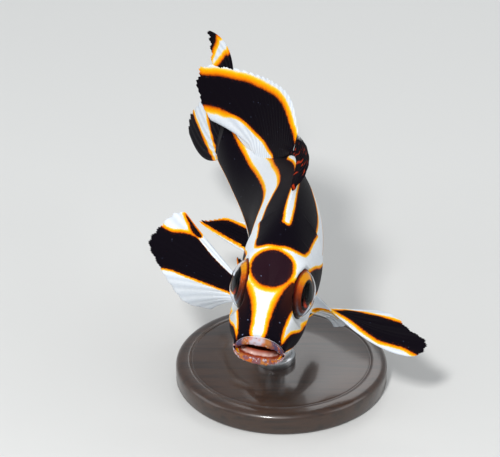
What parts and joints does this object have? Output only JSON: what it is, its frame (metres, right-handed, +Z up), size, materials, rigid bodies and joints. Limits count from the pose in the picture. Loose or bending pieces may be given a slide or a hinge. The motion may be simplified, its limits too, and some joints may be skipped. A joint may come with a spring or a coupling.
{
  "type": "display model of a young lessons sweetlips",
  "caption": "Life-size still model of a young banded reef fish swimming with its tail swept to one side, held by a short rod on a round base.",
  "frame": {"origin": "centre of the underside of the stand's round base", "axes": "+Z up out of the base, -Y the way the fish faces, +X towards the fish's left side"},
  "size_m": [0.031, 0.0573, 0.0298],
  "materials": {
    "skin": "wet skin in white, black and orange bands",
    "fin": "thin rayed membrane, black with orange and white edges",
    "eye": "clear cornea over a dark iris",
    "stand_base": "dark satin lacquer",
    "stand_rod": "fine brushed"
  },
  "bodies": {
    "root": {"head": "skin", "trunk": "skin", "tail_stalk": "skin", "eye_left": "eye", "eye_right": "eye", "dorsal_fin_spiny": "fin", "dorsal_fin_soft": "fin", "anal_fin": "fin", "caudal_fin": "fin", "pectoral_fin_left": "fin", "pectoral_fin_right": "fin", "pelvic_fin_left": "fin", "pelvic_fin_right": "fin", "stand_base": "stand_base", "stand_rod": "stand_rod"}
  },
  "joints": []
}
